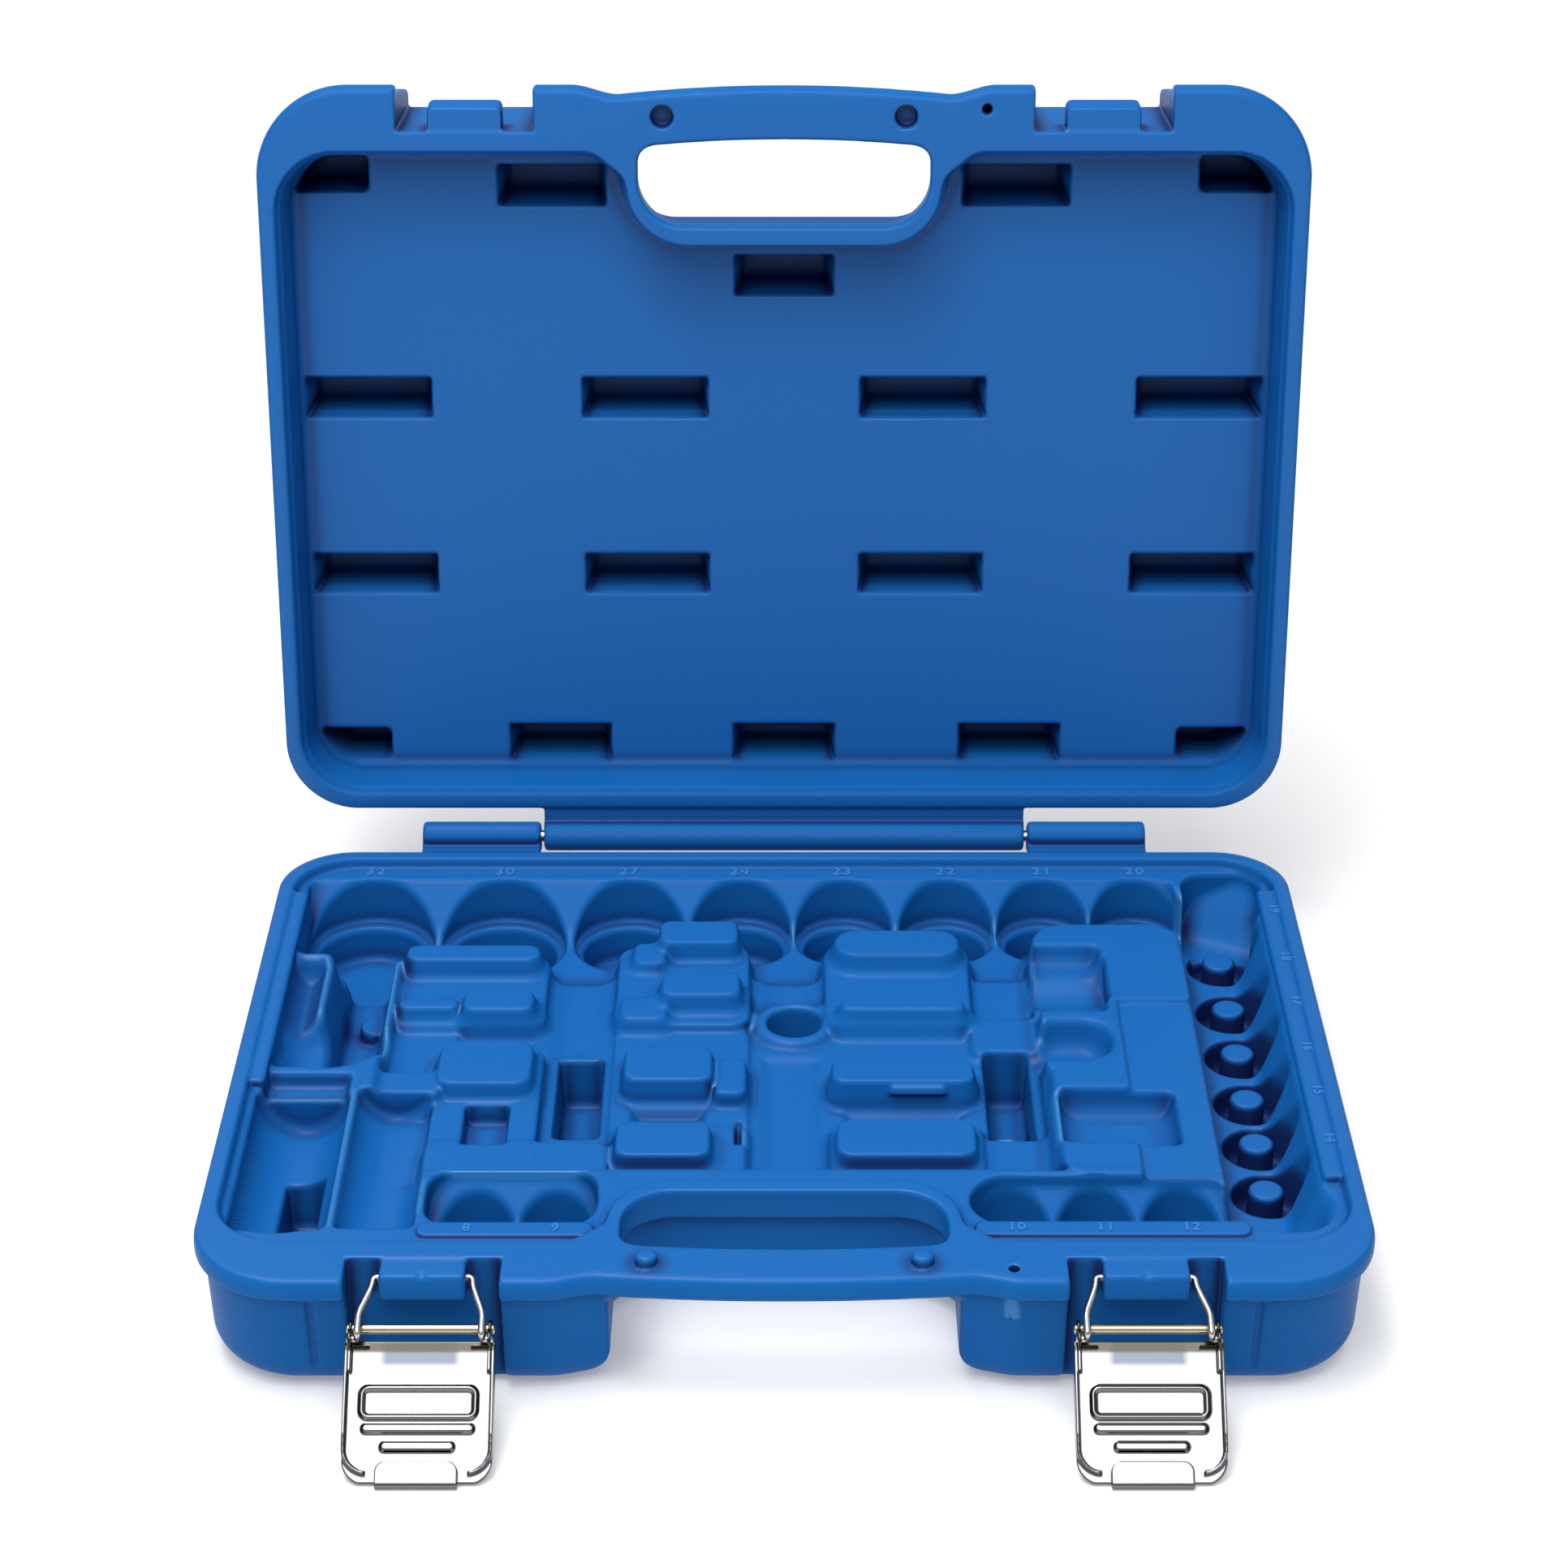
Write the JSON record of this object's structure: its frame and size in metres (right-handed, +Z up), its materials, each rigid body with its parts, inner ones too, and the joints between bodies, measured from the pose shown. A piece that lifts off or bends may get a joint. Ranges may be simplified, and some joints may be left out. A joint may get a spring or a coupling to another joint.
{
  "type": "hard tool case",
  "caption": "open two-part tool case, its base a fitted tray for sockets and drive tools, its lid a panel of wells, shut by two over-centre wire-bail latches",
  "frame": {"origin": "middle of the underside of the base, on the floor the case lies on", "axes": "+X to the right seen from the latches, +Y to the hinge at the back, +Z up; the lid stands open"},
  "size_m": [0.34, 0.3727, 0.2985],
  "materials": {
    "shell_plastic": "satin blue blow-moulded polyethylene",
    "pin_steel": "plain drawn steel",
    "bail_wire": "bright zinc plated wire",
    "lever_sheet": "bright zinc plated sheet",
    "hook_zinc": "yellow passivated zinc plate"
  },
  "bodies": {
    "base": {"base_half": "shell_plastic", "hinge_pin_left": "pin_steel", "hinge_pin_right": "pin_steel"},
    "lid": {"lid_half": "shell_plastic"},
    "bail_left": {"latch_bail_left": "bail_wire"},
    "bail_right": {"latch_bail_right": "bail_wire"},
    "lever_left": {"latch_lever_left": "lever_sheet", "hook_pin_left": "hook_zinc"},
    "lever_right": {"latch_lever_right": "lever_sheet", "hook_pin_right": "hook_zinc"}
  },
  "joints": [
    {"name": "lid_hinge", "type": "hinge", "parent": "base", "child": "lid", "pos_m": [0, 0.133, 0.0442], "axis": [1, 0, 0], "range_deg": [0, 97.47]},
    {"name": "bail_hinge_left", "type": "hinge", "parent": "base", "child": "bail_left", "pos_m": [-0.1023, -0.1145, 0.0395], "axis": [-1, 0, 0], "range_deg": [0, 121.3]},
    {"name": "lever_hinge_left", "type": "hinge", "parent": "bail_left", "child": "lever_left", "pos_m": [-0.1023, -0.13049, 0.03], "axis": [-1, 0, 0], "range_deg": [-5, 10.64]},
    {"name": "bail_hinge_right", "type": "hinge", "parent": "base", "child": "bail_right", "pos_m": [0.1023, -0.1145, 0.0395], "axis": [-1, 0, 0], "range_deg": [0, 121.3]},
    {"name": "lever_hinge_right", "type": "hinge", "parent": "bail_right", "child": "lever_right", "pos_m": [0.1023, -0.13049, 0.03], "axis": [-1, 0, 0], "range_deg": [-5, 10.64]}
  ]
}
